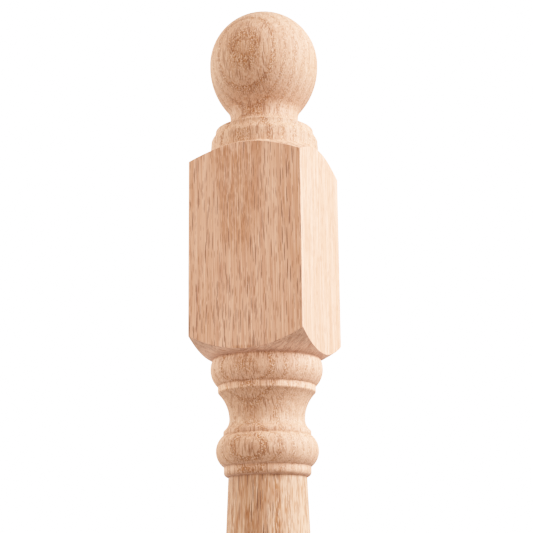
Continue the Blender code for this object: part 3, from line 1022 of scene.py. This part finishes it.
def makeFloor():
    half = studio["floorSize"] / 2
    mesh = bpy.data.meshes.new("floor")
    low = -studio["floorDrop"]
    corners = [(-half, -half, low), (half, -half, low), (half, half, low), (-half, half, low)]
    mesh.from_pydata(corners, [], [(0, 1, 2, 3)])
    floor = addObject("floor", mesh)
    material = bpy.data.materials.new("pale floor")
    material.use_nodes = True
    shader = material.node_tree.nodes["Principled BSDF"]
    shader.inputs["Base Color"].default_value = studio["floorColour"]
    shader.inputs["Roughness"].default_value = studio["floorRoughness"]
    mesh.materials.append(material)
    floor.visible_diffuse = False  # it throws no light up under the mouldings


def makeLight(name):
    data = bpy.data.lights.new(name + " light", "AREA")
    data.shape = "SQUARE"
    data.size = studio[name + "Size"]
    data.energy = studio[name + "Power"]
    data.color = studio[name + "Colour"]
    light = addObject(name + " light", data)
    turn = math.radians(studio[name + "Turn"])
    rise = math.radians(studio[name + "Rise"])
    away = Vector((math.sin(turn) * math.cos(rise), -math.cos(turn) * math.cos(rise), math.sin(rise)))
    target = Vector((0.0, 0.0, studio["lightHeight"]))
    light.location = target + away * studio[name + "Distance"]
    light.rotation_euler = away.to_track_quat("Z", "Y").to_euler()


def makeWorld():
    world = bpy.data.worlds.new("studio")
    bpy.context.scene.world = world
    world.use_nodes = True
    tree = world.node_tree
    tree.nodes.clear()
    seen = addNode(tree, "ShaderNodeBackground",
                   {"Color": (1.0, 1.0, 1.0, 1.0), "Strength": studio["filmWhite"]})
    # the room is darker below, which shades the undersides
    towards = addNode(tree, "ShaderNodeTexCoord").outputs["Object"]
    height = coordinates(tree, towards)["Z"]
    strength = ramp(tree, height, *studio["roomRise"], studio["roomBelow"], 1.0, smooth=True)
    lit = addNode(tree, "ShaderNodeBackground", {"Color": studio["roomLight"], "Strength": strength})
    path = addNode(tree, "ShaderNodeLightPath")
    both = addNode(tree, "ShaderNodeMixShader", {0: path.outputs["Is Camera Ray"]})
    tree.links.new(lit.outputs[0], both.inputs[1])
    tree.links.new(seen.outputs[0], both.inputs[2])
    addNode(tree, "ShaderNodeOutputWorld", {"Surface": both.outputs[0]})


# Camera, fitted to the block's edges and the turned rings in the photo
view = {
    "place": (0.3370, -0.8967, 0.6717),
    "focalPixels": 1400.0,
    "pictureSide": 533.0,
    "sensorWidth": 36.0,
    "reach": (0.05, 60.0),  # nearest and farthest it sees
    "turn": 0.035,  # degrees to the right of the post's axis
    "pitch": 13.541,  # degrees up
    "roll": -0.572,
}


def makeCamera():
    data = bpy.data.cameras.new("camera")
    data.sensor_fit = "HORIZONTAL"
    data.sensor_width = view["sensorWidth"]
    data.lens = view["focalPixels"] * data.sensor_width / view["pictureSide"]
    data.clip_start, data.clip_end = view["reach"]
    camera = addObject("camera", data)
    place = Vector(view["place"])
    level = Vector((-place.x, -place.y, 0.0)).normalized()
    level = Matrix.Rotation(math.radians(-view["turn"]), 3, "Z") @ level
    pitch, roll = math.radians(view["pitch"]), math.radians(view["roll"])
    forward = level * math.cos(pitch) + Vector((0, 0, 1)) * math.sin(pitch)
    right = forward.cross(Vector((0, 0, 1))).normalized()
    up = right.cross(forward)
    rolledRight = right * math.cos(roll) + up * math.sin(roll)
    rolledUp = up * math.cos(roll) - right * math.sin(roll)
    turn = Matrix((rolledRight, rolledUp, -forward)).transposed()
    camera.matrix_world = Matrix.Translation(place) @ turn.to_4x4()
    bpy.context.scene.camera = camera


def setFilm():
    # bright tones roll off as they do on film, so the lit side keeps its wood colour
    settings = bpy.context.scene.view_settings
    settings.view_transform = "Standard"
    settings.use_curve_mapping = True
    mapping = settings.curve_mapping
    white = studio["filmWhite"]
    mapping.white_level = (white, white, white)
    curve = mapping.curves[3]  # the one for all three colours
    steps = studio["filmSteps"]
    for step in range(1, steps):
        share = (step / steps) ** 2
        curve.points.new(share, (1 - math.exp(-white * share)) / (1 - math.exp(-white)))
    mapping.update()


makeFloor()
makeLight("key")
makeLight("fill")
makeWorld()
makeCamera()
setFilm()
print("studio and camera ready")
